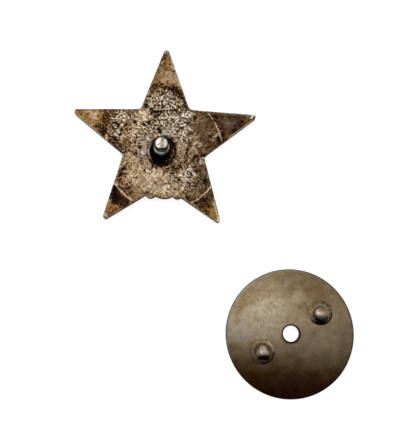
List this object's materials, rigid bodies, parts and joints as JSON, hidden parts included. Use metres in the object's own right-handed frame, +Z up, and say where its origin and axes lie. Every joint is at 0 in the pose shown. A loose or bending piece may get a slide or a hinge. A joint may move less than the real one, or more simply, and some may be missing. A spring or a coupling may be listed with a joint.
{
  "type": "breast star",
  "caption": "Tarnished silver five-pointed breast star lying face down with its screw post up, and beside it the round dished screw nut with two domed grips that fastens it.",
  "frame": {"origin": "on the surface that the star and its nut lie on, at the middle of the box round both", "axes": "+Z up, along the screw post, away from the star's front; +Y towards the star's top arm; +X to the side on which the nut lies"},
  "size_m": [0.0722, 0.091, 0.0118],
  "materials": {
    "star_silver": "struck silver, rough, worn pale on its high places and tarnished brown to black in its pits",
    "post_silver": "turned silver, tarnished black at its foot, with a bright worn tip",
    "nut_metal": "rolled and dished plate under an even grey-brown tarnish, finely scratched",
    "grip_metal": "domed studs, smooth and worn, tarnished grey-brown"
  },
  "bodies": {
    "root": {"star_body": "star_silver", "screw_post": "post_silver", "nut_plate": "nut_metal", "grip_stud_right": "grip_metal", "grip_stud_left": "grip_metal"}
  },
  "joints": []
}
